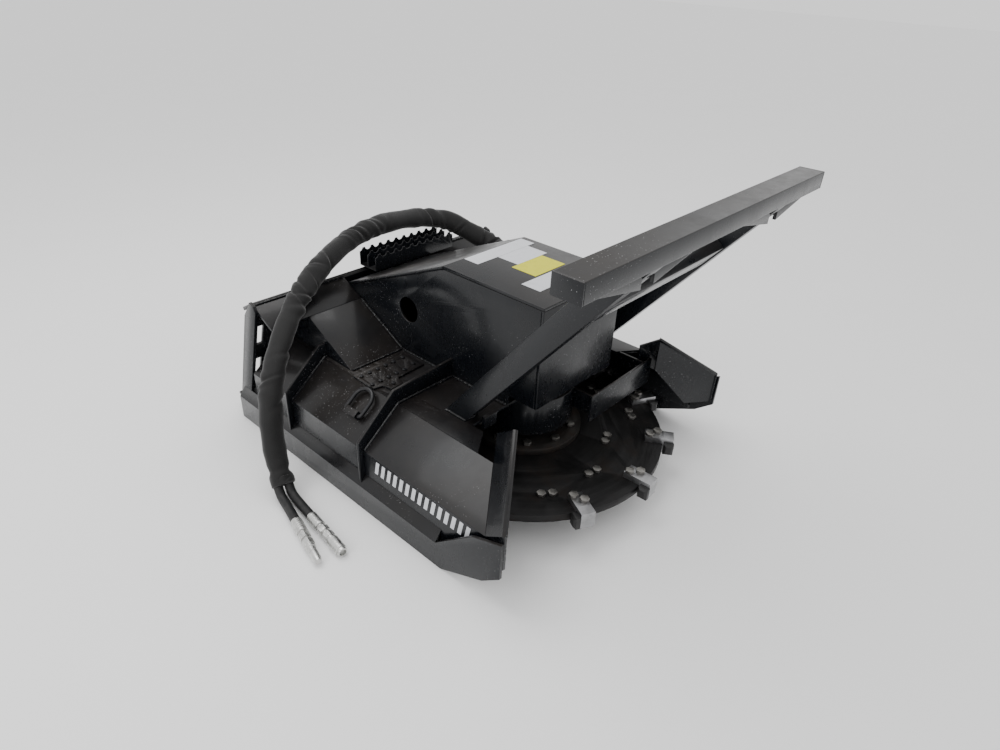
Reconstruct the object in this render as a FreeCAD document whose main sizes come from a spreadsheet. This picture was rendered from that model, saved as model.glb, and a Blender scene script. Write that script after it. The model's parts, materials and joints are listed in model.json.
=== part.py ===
import FreeCAD, Part
import math
import os
import Sketcher
from FreeCAD import Placement, Rotation, Vector

# Stump grinder attachment for a skid-steer loader: a flat cutting disc under a
# welded steel deck. +X is the width, -Y the way it works, +Z up, and the skids
# rest on z = 0. Lengths are in millimetres.

doc = FreeCAD.newDocument("stump_grinder")

# ---------------------------------------------------------------- sizes
SIZES = [
    # overall
    ("half_width", 600, "centre to the outer face of a skid"),
    ("plate_half", 575, "half of the loader coupling plate's width"),
    ("deck_top", 326, "height of the deck's top face"),
    ("tower_top", 704, "height of the tower's flat top"),
    ("disc_centre", 905, "from the coupling plate forward to the disc axis"),
    ("disc_radius", 485, "cutting disc"),
    # sheet thicknesses
    ("deck_thick", 10, "deck, tower and rib plate"),
    ("side_thick", 8, "bent side panels"),
    ("skid_thick", 10, "skid plate"),
    ("weld_gap", 0.3, "gap between two plates that are welded edge to face"),
    # coupling plate, in its own leaning frame
    ("plate_foot", 12, "height of the plate's lower edge"),
    ("plate_lean", 18, "forward lean in degrees"),
    ("plate_length", 512, "up the slope"),
    ("plate_thick", 12, "coupling plate"),
    ("ear_thick", 12, "end ear"),
    ("ear_front", 26, "ear, forward of the plate's front face"),
    ("ear_rear", 24, "ear, behind the plate's rear face"),
    ("window_wide", 22, "window at the plate's end"),
    ("window_tall", 88, "window at the plate's end"),
    ("window_pitch", 156, "window to window"),
    ("window_inset", 30, "ear to the middle of the windows"),
    ("hook_drop", 46, "upper hook, down and back"),
    ("lip_deep", 62, "lower lip, back from the plate"),
    ("lip_rise", 20, "lower lip, rise at its rear edge"),
    ("slot_wide", 30, "lock-pin slot, front to back"),
    ("slot_long", 64, "lock-pin slot, along the lip"),
    ("slot_offset", 400, "centre to each lock-pin slot"),
    # top flange and braces
    ("flange_drop", 50, "fall of the flange ahead of the plate's top"),
    ("flange_run", 96, "run of the flange ahead of the plate's top"),
    ("brace_foot", 490, "where the brace's slope meets the deck"),
    ("brace_out", 420, "outer face of a brace"),
    # side panels and ribs
    ("shoulder", 435, "centre to the bend at the deck's edge"),
    ("knee", 575, "centre to the lower bend"),
    ("knee_height", 215, "height of the lower bend"),
    ("side_foot", 84, "height of the side panel's lower edge"),
    ("rib_proud", 52, "rib above the deck"),
    ("rib_out", 594, "centre to a rib's outer edge"),
    ("rear_rib", 345, "rear rib's front face"),
    ("front_rib", 742, "front rib's front face"),
    # skids
    ("skid_rear", 30, "rear end of a skid"),
    ("skid_flat", 1108, "front end of the skid's flat sole"),
    ("skid_front", 1334, "tip of the skid"),
    ("skid_tall", 90, "skid's outer face"),
    ("sole_wide", 80, "skid's sole"),
    # deck front
    ("deck_front", 985, "front edge of the deck beside the tower"),
    ("strip_in", 350, "inner edge of the strip beside the opening"),
    ("strip_front", 1090, "front end of that strip"),
    # tower
    ("tower_half", 195, "half of the tower's width"),
    ("tower_back", 694, "rear edge of the tower's flat top"),
    ("tower_front", 1101, "tower's front face"),
    ("tower_chin", 372, "lower edge of the tower's front wall"),
    ("tail_height", 486, "height where the sloping back ends"),
    ("tail_back", 196, "where the sloping back ends"),
    ("port_radius", 45, "hose hole in the tower's walls"),
    ("port_back", 525, "hose hole"),
    ("port_height", 491, "hose hole"),
    # push bar
    ("beam_deep", 77, "push bar, front to back"),
    ("beam_tall", 50, "push bar"),
    ("beam_wall", 5, "push bar's wall"),
    ("beam_back", 1412, "push bar's rear face"),
    ("beam_top", 1032, "push bar's top face"),
    ("arm_in", 300, "inner face of an arm"),
    ("arm_wide", 50, "arm, across"),
    ("arm_base", 868, "rear corner of an arm's foot"),
    ("arm_level", 88, "arm's cut length at its foot"),
    ("arm_wall", 5, "arm's wall"),
    ("cross_rise", 566, "foot of an arm to the cross-member, along the arm"),
    ("cross_deep", 40, "cross-member, front to back"),
    ("cross_tall", 84, "cross-member"),
    ("gusset_long", 220, "push bar gusset"),
    ("gusset_tall", 48, "push bar gusset"),
    # spindle
    ("disc_low", 104, "underside of the disc"),
    ("disc_thick", 26, "disc"),
    ("hub_radius", 200, "hub flange"),
    ("hub_thick", 22, "hub flange"),
    ("spindle_radius", 45, "spindle"),
    ("running_gap", 0.05, "radial clearance of a running fit"),
    ("seat_gap", 0.1, "radial clearance of a fixed fit"),
    ("bearing_radius", 75, "bearing, outside"),
    ("bearing_tall", 40, "bearing"),
    ("housing_radius", 165, "bearing housing"),
    ("housing_low", 182, "underside of the housing"),
    ("housing_spigot", 150, "housing's spigot through the deck"),
    ("housing_top", 361.7, "top of the housing's spigot"),
    ("tower_floor", 372, "top of the plate that carries the motor"),
    ("floor_back", 760, "rear edge of that plate"),
    ("motor_radius", 88, "hydraulic motor"),
    ("motor_tall", 175, "hydraulic motor above its flange"),
    ("motor_flange", 230, "motor's square flange"),
    ("motor_flange_thick", 22, "motor's square flange"),
    ("drive_radius", 24, "motor's drive shaft"),
    # cutters
    ("tooth_count", 12, "cutters round the disc"),
    ("tooth_phase", -118, "first cutter, in degrees"),
    ("holder_long", 96, "tooth holder, along the radius"),
    ("holder_wide", 46, "tooth holder, along the rim"),
    ("holder_thick", 22, "tooth holder"),
    ("holder_reach", 36, "tooth holder beyond the rim"),
    ("carbide_side", 34, "carbide block"),
    ("bolt_radius", 8, "cutter and hub bolts"),
    ("bolt_gap", 0.4, "radial clearance of a bolt in its hole"),
    ("hub_bolt_ring", 165, "radius of the hub's bolt circle"),
    ("hub_bolt_count", 10, "hub bolts"),
    # guard, ring, tread
    ("guard_left", 40, "front guard's inner end"),
    ("guard_right", 405, "front guard's outer end"),
    ("guard_low", 226, "front guard's lower edge"),
    ("guard_tall", 100, "front guard"),
    ("guard_front", 1148, "front guard's face"),
    ("tread_left", -90, "step tread's left end"),
    ("tread_long", 396, "step tread"),
    ("tread_deep", 96, "step tread, front to back"),
    ("tread_tall", 66, "step tread"),
    ("tread_teeth", 10, "teeth along the tread"),
    ("ring_bar", 7, "radius of the lifting ring's bar"),
    ("ring_half", 38, "lifting ring, half of its inner width at the bar's centre"),
    ("ring_long", 50, "lifting ring, straight sides"),
    # hose
    ("sleeve_radius", 38, "fabric sleeve round the hoses"),
    ("hose_radius", 15, "hydraulic hose"),
]
sheet = doc.addObject("Spreadsheet::Sheet", "sizes")
for row, (alias, value, note) in enumerate(SIZES, start=1):
    sheet.set("A%d" % row, note)
    sheet.set("B%d" % row, str(value))
    sheet.setAlias("B%d" % row, alias)
doc.recompute()


def size(alias):
    """The number in a named cell."""
    return float(getattr(sheet, alias))


def cells(expression):
    """An expression on bare aliases, with each alias pointed at the sheet."""
    for alias in sorted((entry[0] for entry in SIZES), key=len, reverse=True):
        expression = expression.replace(alias, "<<%s>>" % alias[::-1])
    for alias in (entry[0] for entry in SIZES):
        expression = expression.replace("<<%s>>" % alias[::-1], "sizes." + alias)
    return expression


def bind(item, **properties):
    """Ties properties, with _ for the dots in their path, to cells."""
    for path, expression in properties.items():
        item.setExpression(path.replace("_", "."), cells(str(expression)))


pieces = []


def piece(item, label):
    """Names a finished sub-part and keeps it for the files."""
    item.Label = label
    pieces.append(item)
    return item


# ---------------------------------------------------------------- ways to make a sub-part
def value_of(expression):
    """The number that an expression on aliases gives now."""
    return float(sheet.evalExpression(cells(str(expression))))


def outline(body, plane, *loops):
    """A sketch of closed loops of corners, each corner a pair of expressions."""
    sketch = body.newObject("Sketcher::SketchObject", body.Name + "_outline")
    role = plane + "_Plane"
    origin_plane = [item for item in body.Origin.OriginFeatures if item.Role == role][0]
    sketch.AttachmentSupport = [(origin_plane, "")]
    sketch.MapMode = "FlatFace"
    for corners in loops:
        first = sketch.GeometryCount
        spots = [Vector(value_of(a), value_of(b), 0) for a, b in corners]
        for index, spot in enumerate(spots):
            sketch.addGeometry(Part.LineSegment(spot, spots[(index + 1) % len(spots)]))
        for index, (a, b) in enumerate(corners):
            edge = first + index
            before = first + (index - 1) % len(corners)
            sketch.addConstraint(Sketcher.Constraint("Coincident", before, 2, edge, 1))
            for kind, term in (("DistanceX", a), ("DistanceY", b)):
                rule = Sketcher.Constraint(kind, -1, 1, edge, 1, value_of(term))
                place = sketch.addConstraint(rule)
                sketch.setExpression("Constraints[%d]" % place, cells(str(term)))
    return sketch


def box_loop(a_low, b_low, a_high, b_high):
    return [(a_low, b_low), (a_high, b_low), (a_high, b_high), (a_low, b_high)]


def pad(body, sketch, length, start="0"):
    """Pads a sketch along its plane's normal, from start."""
    sketch.setExpression("AttachmentOffset.Base.z", cells(str(start)))
    feature = body.newObject("PartDesign::Pad", body.Name + "_pad")
    feature.Profile = sketch
    feature.setExpression("Length", cells(str(length)))
    sketch.Visibility = False
    return feature


def pocket(body, sketch):
    """Cuts a sketch through the whole body, both ways."""
    feature = body.newObject("PartDesign::Pocket", body.Name + "_pocket")
    feature.Profile = sketch
    feature.Type = "ThroughAll"
    feature.SideType = "Symmetric"
    return feature


def plate(name, plane, thick, start, *loops):
    """A flat sub-part: an outline, with any holes in it, padded once."""
    body = doc.addObject("PartDesign::Body", name)
    pad(body, outline(body, plane, *loops), thick, start)
    return body


def lean(body):
    """Stands a body in the coupling plate's leaning frame."""
    body.Placement = Placement(Vector(0, 0, 0), Rotation(Vector(1, 0, 0), 18))
    bind(body, Placement_Base_z="plate_foot", Placement_Rotation_Angle="plate_lean")


def cylinder(name, radius, height, x="0", y="0", z="0"):
    item = doc.addObject("Part::Cylinder", name)
    bind(item, Radius=radius, Height=height, Placement_Base_x=x, Placement_Base_y=y, Placement_Base_z=z)
    return item


def box(name, length, width, height, x, y, z):
    item = doc.addObject("Part::Box", name)
    bind(item, Length=length, Width=width, Height=height)
    bind(item, Placement_Base_x=x, Placement_Base_y=y, Placement_Base_z=z)
    return item


def cut(name, base, *tools):
    tool = tools[0]
    if len(tools) > 1:
        tool = doc.addObject("Part::MultiFuse", name + "_tools")
        tool.Shapes = list(tools)
    item = doc.addObject("Part::Cut", name)
    item.Base = base
    item.Tool = tool
    return item


def fuse(name, *shapes):
    item = doc.addObject("Part::MultiFuse", name)
    item.Shapes = list(shapes)
    return item


def solid_feature(name, shape):
    """A sub-part set directly from a shape."""
    item = doc.addObject("Part::Feature", name)
    item.Shape = shape
    item.Placement = Placement(Vector(0, 0, 0), Rotation())
    return item


def ring(name, inner, outer, height, z):
    """A plain ring round the disc's axis."""
    outside = cylinder(name + "_outside", outer, height, "0", "-disc_centre", z)
    inside = cylinder(name + "_inside", inner, height + " + 2", "0", "-disc_centre", z + " - 1")
    return cut(name, outside, inside)


SIDES = (("left", -1), ("right", 1))


def sided(sign, *corners):
    """Corners of the right-hand piece, carried to the side that sign gives."""
    return [("%d * (%s)" % (sign, a), b) for a, b in corners]


# ---------------------------------------------------------------- coupling plate
wide = "(plate_half - ear_thick)"
windows = []
for sign in (-1, 1):
    for step in range(3):
        middle = "%d * (%s - window_inset)" % (sign, wide)
        low = "14 + %d * window_pitch" % step
        windows.append(box_loop(middle + " - window_wide / 2", low,
                                middle + " + window_wide / 2", low + " + window_tall"))
mount_plate = plate("mount_plate", "XZ", "plate_thick", "0",
                    box_loop("-" + wide, "0", wide, "plate_length"), *windows)
lean(piece(mount_plate, "mount_plate"))

hook = plate("upper_hook", "YZ", "2 * " + wide, "-" + wide,
             [("0", "plate_length"), ("0", "plate_length - 16"),
              ("hook_drop", "plate_length - 16 - hook_drop"),
              ("hook_drop + 9", "plate_length - 7 - hook_drop"), ("8", "plate_length")])
lean(piece(hook, "upper_hook"))

lip = plate("lower_lip", "YZ", "2 * " + wide, "-" + wide,
            [("0", "0"), ("lip_deep", "lip_rise"), ("lip_deep - 4", "lip_rise + 11"), ("0", "12")])
slots = []
for sign in (-1, 1):
    middle = "%d * slot_offset" % sign
    slots.append(box_loop(middle + " - slot_long / 2", "30 - slot_wide / 2",
                          middle + " + slot_long / 2", "30 + slot_wide / 2"))
pocket(lip, outline(lip, "XY", *slots))
lean(piece(lip, "lower_lip"))

for side, sign in SIDES:
    inner = "plate_half - ear_thick" if sign > 0 else "-plate_half"
    front = "-plate_thick - ear_front"
    ear = plate("plate_ear_" + side, "YZ", "ear_thick", inner,
                [("ear_rear", "6"), ("ear_rear", "plate_length - 60"), ("6", "plate_length - 8"),
                 ("2", "plate_length + 12"), (front + " + 14", "plate_length + 12"),
                 (front, "plate_length - 4"), (front, "30"), (front + " + 24", "0"),
                 ("ear_rear - 10", "0")])
    lean(piece(ear, "plate_ear_" + side))

# the plate's front face, going up: how far forward it is at a height
face_at = "((%s - plate_foot) * tan(plate_lean) + plate_thick / cos(plate_lean))"
top_y = "(plate_length * sin(plate_lean) + plate_thick * cos(plate_lean))"
top_z = "(plate_foot + plate_length * cos(plate_lean) - plate_thick * sin(plate_lean))"
flange = plate("flange_plate", "YZ", "2 * " + wide, "-" + wide,
               [("-%s - weld_gap" % top_y, top_z), ("-%s - flange_run" % top_y, top_z + " - flange_drop"),
                ("-%s - flange_run + 4" % top_y, top_z + " - flange_drop - 9"),
                ("-%s - weld_gap + 3" % top_y, top_z + " - 10")])
tower_slot = box("tower_slot", "2 * (tower_half + weld_gap)", "200", "400", "-tower_half - weld_gap",
                 "-(%s) - 2 - 200" % face_at % "476", "300")
piece(cut("flange_cut", flange, tower_slot), "top_flange")

# ---------------------------------------------------------------- step tread on the plate
tread_y = "-(%s) - 8" % top_y
tread_z = top_z + " + 8"
walls = []
for name, offset in (("rear", "0"), ("middle", "tread_deep / 2 - 2"), ("front", "tread_deep - 4")):
    walls.append(box("tread_" + name, "tread_long", "4", "tread_tall",
                     "tread_left", tread_y + " - (" + offset + ") + tread_deep / 2 - 4", tread_z))
walls.append(box("tread_floor", "tread_long", "tread_deep", "4", "tread_left",
                 tread_y + " - tread_deep / 2", tread_z))
tread_blank = fuse("tread_blank", *walls)
notches = []
for step in range(int(size("tread_teeth")) + 1):
    notch = cylinder("tread_notch_%d" % step, "tread_long / tread_teeth * 0.36", "tread_deep + 20",
                     "tread_left + tread_long / tread_teeth * %d" % step,
                     tread_y + " + tread_deep / 2 + 10", tread_z + " + tread_tall + 2")
    notch.Placement = Placement(notch.Placement.Base, Rotation(Vector(1, 0, 0), 90))
    notches.append(notch)
piece(cut("step_tread", tread_blank, *notches), "step_tread")

# ---------------------------------------------------------------- deck and side panels
deck_low = "deck_top - deck_thick"
deck = plate("deck", "XY", "deck_thick", deck_low,
             [("shoulder", "-" + face_at % "deck_top" + " - weld_gap"),
              ("shoulder", "-strip_front"), ("strip_in", "-strip_front + 60"),
              ("strip_in", "-deck_front"), ("-strip_in", "-deck_front"),
              ("-strip_in", "-strip_front + 60"), ("-shoulder", "-strip_front"),
              ("-shoulder", "-" + face_at % "deck_top" + " - weld_gap")])
spigot_hole = cylinder("spigot_hole", "housing_spigot + 1.5", "deck_thick * 3", "0",
                       "-disc_centre", deck_low + " - deck_thick")
cover_holes = []
COVER_BOLTS = ([(-424 + 34 * n, -549) for n in range(5)] + [(-430 + 34 * n, -613) for n in range(5)]
               + [(-246, -548), (-247, -604), (-375, -652)])
for index, (x, y) in enumerate(COVER_BOLTS):
    cover_holes.append(cylinder("cover_hole_%d" % index, "bolt_radius / 2 + bolt_gap", "60",
                                str(x), str(y), deck_low + " - 20"))
piece(cut("deck_plate", deck, spigot_hole, *cover_holes), "deck_plate")

for side, sign in SIDES:
    strip = sided(sign, ("shoulder + weld_gap", "deck_top"), ("knee", "knee_height"), ("knee", "side_foot"),
                  ("knee - side_thick", "side_foot"), ("knee - side_thick", "knee_height - 4"),
                  ("shoulder + weld_gap", "deck_top - side_thick - 2"))
    panel = plate("side_panel_" + side, "XZ", "skid_front - 60 - 30", "30", strip)
    front = sided(sign, ("shoulder - 40", "-skid_front - 100"), ("shoulder - 40", "-strip_front - 60"),
                  ("shoulder", "-strip_front - 60"), ("knee", "-skid_front + 78.2"),
                  ("knee + 40", "-skid_front + 78.2"), ("knee + 40", "-skid_front - 100"))
    back = sided(sign, ("shoulder - 40", "0"), ("shoulder - 40", "-" + face_at % "deck_top" + " - weld_gap"),
                 ("knee + 40", "-" + face_at % "deck_top" + " - weld_gap"), ("knee + 40", "0"))
    pocket(panel, outline(panel, "XY", front, back))
    piece(panel, "side_panel_" + side)

# ---------------------------------------------------------------- skids
for side, sign in SIDES:
    outer = "half_width - skid_thick" if sign > 0 else "-half_width"
    sole_start = "half_width - sole_wide" if sign > 0 else "-half_width + skid_thick"
    tip = "-skid_front"
    skid = doc.addObject("PartDesign::Body", "skid_" + side)
    wall = [("-skid_rear", "0"), ("-skid_flat", "0"), (tip + " + 64", "77"), (tip, "130"), (tip, "252"),
            (tip + " + 103", "214"), (tip + " + 247", "skid_tall"), ("-skid_rear", "skid_tall")]
    pad(skid, outline(skid, "YZ", wall), "skid_thick", outer)
    sole = [("-skid_rear", "0"), ("-skid_flat", "0"), ("-skid_flat", "skid_thick"), ("-skid_rear", "skid_thick")]
    pad(skid, outline(skid, "YZ", sole), "sole_wide - skid_thick", sole_start)
    band = sided(sign, ("half_width", "skid_tall"), ("knee + weld_gap", "skid_tall + 34"),
                 ("knee + weld_gap", "skid_tall + 20"), ("half_width - skid_thick", "skid_tall - 2"))
    pad(skid, outline(skid, "XZ", band), "skid_front - 247 - skid_rear", "skid_rear")
    piece(skid, "skid_" + side)

# ---------------------------------------------------------------- ribs
rear_ribs = []
front_ribs = []
braces = []
for side, sign in SIDES:
    skin = "deck_top + weld_gap"
    foot = [("knee + weld_gap", "skid_tall + 34.6"), ("knee + weld_gap", "knee_height + weld_gap"),
            ("shoulder + weld_gap", skin)]
    outer = [("rib_out", "skid_tall + 9"), ("rib_out", "knee_height + 36"),
             ("shoulder + 14", "deck_top + rib_proud")]
    rear = sided(sign, *foot, ("brace_out + weld_gap", skin), ("brace_out + weld_gap", "deck_top + rib_proud"),
                 *reversed(outer))
    rear_ribs.append(plate("rib_rear_" + side, "XZ", "deck_thick", "rear_rib", rear))
    front = sided(sign, *foot, ("tower_half + weld_gap", skin),
                  ("tower_half + weld_gap", "deck_top + rib_proud + 14"), *reversed(outer))
    front_ribs.append(plate("rib_front_" + side, "XZ", "deck_thick", "front_rib - deck_thick", front))

# ---------------------------------------------------------------- braces between plate and deck
brace_top_y = "(%s + flange_run + weld_gap)" % top_y
brace_top_z = "(%s - flange_drop)" % top_z
for side, sign in SIDES:
    brace = doc.addObject("PartDesign::Body", "brace_body_" + side)
    inner = "tower_half + weld_gap" if sign > 0 else "-brace_out"
    slope = [("-" + brace_top_y, brace_top_z), ("-brace_foot", "deck_top + weld_gap"),
             ("-brace_foot + 17", "deck_top + weld_gap"), ("-" + brace_top_y, brace_top_z + " - 9")]
    pad(brace, outline(brace, "YZ", slope), "brace_out - tower_half - weld_gap", inner)
    cheek_start = "brace_out - deck_thick" if sign > 0 else "-brace_out"
    cheek = [("-" + brace_top_y, brace_top_z), ("-brace_foot", "deck_top + weld_gap"),
             ("-" + face_at % "deck_top" + " - weld_gap", "deck_top + weld_gap"),
             ("-" + face_at % brace_top_z + " - weld_gap", brace_top_z + " - 12"),
             ("-" + brace_top_y, brace_top_z + " - 12")]
    pad(brace, outline(brace, "YZ", cheek), "deck_thick", cheek_start)
    braces.append(brace)
for label, pair in (("rear_ribs", rear_ribs), ("front_ribs", front_ribs), ("tower_braces", braces)):
    both = doc.addObject("Part::Compound", label + "_pair")
    both.Links = pair
    piece(both, label)

# ---------------------------------------------------------------- tower
skin = "deck_top + weld_gap"
under = "deck_thick * 1.09"
for side, sign in SIDES:
    start = "tower_half - deck_thick" if sign > 0 else "-tower_half"
    wall = [("-" + brace_top_y, skin), ("-" + brace_top_y, brace_top_z + " + 1"),
            ("-tail_back - 3", "tail_height - 12.5"),
            ("-tower_back", "tower_top - %s - weld_gap" % under),
            ("-tower_front + deck_thick + weld_gap", "tower_top - %s - weld_gap" % under),
            ("-tower_front + deck_thick + weld_gap", "tower_floor - deck_thick"),
            ("-deck_front", "tower_floor - deck_thick"), ("-deck_front", "deck_top + weld_gap")]
    body = plate("tower_wall_" + side, "YZ", "deck_thick", start, wall)
    port = cylinder("port_" + side, "port_radius", "deck_thick * 4",
                    "%d * tower_half - deck_thick * 2" % sign, "-port_back", "port_height")
    port.Placement = Placement(port.Placement.Base, Rotation(Vector(0, 1, 0), 90))
    piece(cut("tower_side_" + side, body, port), "tower_side_" + side)

piece(plate("tower_top", "XY", "deck_thick", "tower_top - deck_thick",
            box_loop("-tower_half", "-tower_front", "tower_half", "-tower_back - weld_gap")), "tower_top")
piece(plate("tower_back", "YZ", "2 * tower_half", "-tower_half",
            [("-tower_back", "tower_top"), ("-tail_back", "tail_height"),
             ("-tail_back - 4", "tail_height - 10"), ("-tower_back", "tower_top - " + under)]), "tower_back")
piece(plate("tower_front", "XZ", "deck_thick", "tower_front - deck_thick",
            box_loop("-tower_half", "tower_floor - deck_thick", "tower_half", "tower_top - deck_thick - weld_gap")),
      "tower_front")
floor_half = "(tower_half - deck_thick - weld_gap)"
motor_plate = plate("motor_plate", "XY", "deck_thick", "tower_floor - deck_thick",
                    box_loop("-" + floor_half, "-tower_front + deck_thick + weld_gap", floor_half, "-floor_back"))
motor_eye = cylinder("motor_eye", "spindle_radius + 15", "60", "0", "-disc_centre", "tower_floor - 30")
piece(cut("motor_plate_cut", motor_plate, motor_eye), "tower_floor")

# ---------------------------------------------------------------- push bar, arms, cross-member
beam_low = "beam_top - beam_tall"
beam_front = "-beam_back - beam_deep"


def tube_loops(a_low, b_low, a_high, b_high, wall):
    inside = box_loop("%s + %s" % (a_low, wall), "%s + %s" % (b_low, wall),
                      "%s - %s" % (a_high, wall), "%s - %s" % (b_high, wall))
    return box_loop(a_low, b_low, a_high, b_high), inside


piece(plate("push_bar", "YZ", "2 * (half_width - beam_wall)", "-half_width + beam_wall",
            *tube_loops(beam_front, beam_low, "-beam_back", "beam_top", "beam_wall")), "push_bar")
caps = []
for side, sign in SIDES:
    start = "half_width - beam_wall" if sign > 0 else "-half_width"
    caps.append(plate("bar_cap_" + side, "YZ", "beam_wall", start,
                      box_loop(beam_front, beam_low, "-beam_back", "beam_top")))
end_caps = doc.addObject("Part::Compound", "bar_end_caps")
end_caps.Links = caps
piece(end_caps, "bar_end_caps")

arm_foot = "deck_top + weld_gap"
arm_head = "(%s - weld_gap)" % beam_low
arm_rise = "(%s - deck_top - weld_gap)" % arm_head
arm_run = "(beam_back + beam_deep - 2 - arm_base - arm_level)"
for side, sign in SIDES:
    start = "arm_in" if sign > 0 else "-arm_in - arm_wide"
    arm = plate("arm_solid_" + side, "YZ", "arm_wide", start,
                [("-arm_base", arm_foot), ("-arm_base - arm_level", arm_foot),
                 ("-arm_base - arm_level - %s" % arm_run, arm_head),
                 ("-arm_base - %s" % arm_run, arm_head)])
    hollow = plate("arm_hollow_" + side, "YZ", "arm_wide - 2 * arm_wall", start + " + arm_wall",
                   [("-arm_base - arm_wall * 1.3", arm_foot + " - 1"),
                    ("-arm_base - arm_level + arm_wall * 1.3", arm_foot + " - 1"),
                    ("-arm_base - arm_level + arm_wall * 1.3 - %s" % arm_run, arm_head + " + 1"),
                    ("-arm_base - arm_wall * 1.3 - %s" % arm_run, arm_head + " + 1")])
    piece(cut("arm_tube_" + side, arm, hollow), "arm_" + side)

arm_slope = math.degrees(math.atan2(value_of(arm_rise), value_of(arm_run)))
climb = Vector(0, -math.cos(math.radians(arm_slope)), math.sin(math.radians(arm_slope)))
inward = Vector(0, math.sin(math.radians(arm_slope)), math.cos(math.radians(arm_slope)))
front_foot = Vector(-size("arm_in") + size("weld_gap"), -size("arm_base") - size("arm_level"), size("deck_top"))
low_edge = front_foot + climb * size("cross_rise") + inward * 4


def leaning_loop(inset):
    spots = [(inset, inset), (size("cross_tall") - inset, inset),
             (size("cross_tall") - inset, size("cross_deep") - inset), (inset, size("cross_deep") - inset)]
    corners = [low_edge + climb * up + inward * back for up, back in spots]
    return Part.Face(Part.makePolygon(corners + corners[:1]))


cross_width = Vector(2 * size("arm_in") - 2 * size("weld_gap"), 0, 0)
cross_box = leaning_loop(0).extrude(cross_width).cut(leaning_loop(size("arm_wall")).extrude(cross_width))
piece(solid_feature("cross_member_shape", cross_box), "cross_member")

gussets = []
for side, sign in SIDES:
    edge = "arm_in + arm_wide + weld_gap"
    corners = sided(sign, (edge, arm_head), (edge + " + gusset_long", arm_head),
                    (edge + " + gusset_long", arm_head + " - 6"), (edge, arm_head + " - gusset_tall"))
    gussets.append(plate("bar_gusset_" + side, "XZ", "deck_thick", "beam_back + beam_deep - 30", corners))
    edge = "arm_in - weld_gap"
    corners = sided(sign, (edge, arm_head), (edge + " - gusset_long", arm_head),
                    (edge + " - gusset_long", arm_head + " - 6"), (edge, arm_head + " - gusset_tall"))
    gussets.append(plate("bar_gusset_in_" + side, "XZ", "deck_thick", "beam_back + beam_deep - 30", corners))
bar_gussets = doc.addObject("Part::Compound", "bar_gussets")
bar_gussets.Links = gussets
piece(bar_gussets, "bar_gussets")

# ---------------------------------------------------------------- flared fronts of the side panels
def slab(corners, thick):
    """A flat plate from its face's corners; thick is measured along the face's normal."""
    face = Part.Face(Part.makePolygon(corners + corners[:1]))
    normal = (corners[1] - corners[0]).cross(corners[2] - corners[0]).normalize()
    return face.extrude(normal * thick)


for side, sign in SIDES:
    tip = -size("skid_front")
    strip = -size("strip_front")
    half = size("half_width") - size("skid_thick") - 9
    high = size("deck_top") + size("rib_proud")
    back_in = Vector(sign * (size("shoulder") - 59), strip - 16, high - 3)
    back_out = Vector(sign * size("knee"), tip + 78, size("knee_height") + 1)
    front_out = Vector(sign * half, tip + 5, size("knee_height") + 54)
    front_in = front_out + (back_in - back_out)
    web_low = Vector(sign * half, tip + 5, 147)
    inward = Vector(front_in.x - front_out.x, front_in.y - front_out.y, 0).normalize()
    web_mid = web_low + inward * 108
    web_in = Vector(front_in.x, front_in.y, 300)
    skirt_out = Vector(back_out.x, back_out.y, back_out.z - 30)
    skirt_in = Vector(back_in.x, back_in.y, size("deck_top") - 20)
    top = slab([back_in, back_out, front_out, front_in], 8 * sign)
    web = slab([front_in, front_out, web_low, web_mid, web_in], 8 * sign)
    rear = slab([back_in, back_out, skirt_out, skirt_in], -8 * sign)
    cheek = slab([back_out, front_out, web_low, back_out + web_low - front_out], -8 * sign)
    flare = top.fuse([web, rear, cheek]).removeSplitter()
    piece(solid_feature("front_flare_" + side, flare), "front_flare_" + side)

# ---------------------------------------------------------------- spindle and its housing
hub_low = "(disc_low + disc_thick)"
hub_top = "(%s + hub_thick)" % hub_low
bearing_seat = "(bearing_radius + seat_gap)"
lower_seat = "(housing_low + 14)"
upper_seat = "(housing_top - bearing_tall - 8)"


def turned(name, corners):
    """A body turned about the disc's axis from half its section, radius then height."""
    body = doc.addObject("PartDesign::Body", name)
    sketch = outline(body, "XZ", corners)
    feature = body.newObject("PartDesign::Revolution", name + "_turn")
    feature.Profile = sketch
    feature.ReferenceAxis = (sketch, ["V_Axis"])
    feature.Angle = 360
    sketch.Visibility = False
    body.Placement = Placement(Vector(0, 0, 0), Rotation())
    bind(body, Placement_Base_y="-disc_centre")
    return body


piece(turned("bearing_housing", [
    (bearing_seat, "housing_low"), ("housing_radius - 6", "housing_low"),
    ("housing_radius", "housing_low + 6"), ("housing_radius", "deck_top - deck_thick - weld_gap"),
    ("housing_spigot", "deck_top - deck_thick - weld_gap"), ("housing_spigot", "housing_top"),
    (bearing_seat, "housing_top"), (bearing_seat, upper_seat), ("bearing_radius - 9", upper_seat),
    ("bearing_radius - 9", lower_seat + " + bearing_tall"),
    (bearing_seat, lower_seat + " + bearing_tall")]), "bearing_housing")
race_in = "spindle_radius + running_gap"
bearings = doc.addObject("Part::Compound", "bearings")
bearings.Links = [ring("bearing_low", race_in, "bearing_radius", "bearing_tall - seat_gap", lower_seat),
                  ring("bearing_high", race_in, "bearing_radius", "bearing_tall - seat_gap",
                       upper_seat + " + seat_gap")]
piece(bearings, "spindle_bearings")
piece(ring("spindle_seal", race_in, "bearing_radius", "12", "housing_low + 1"), "spindle_seal")

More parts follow.
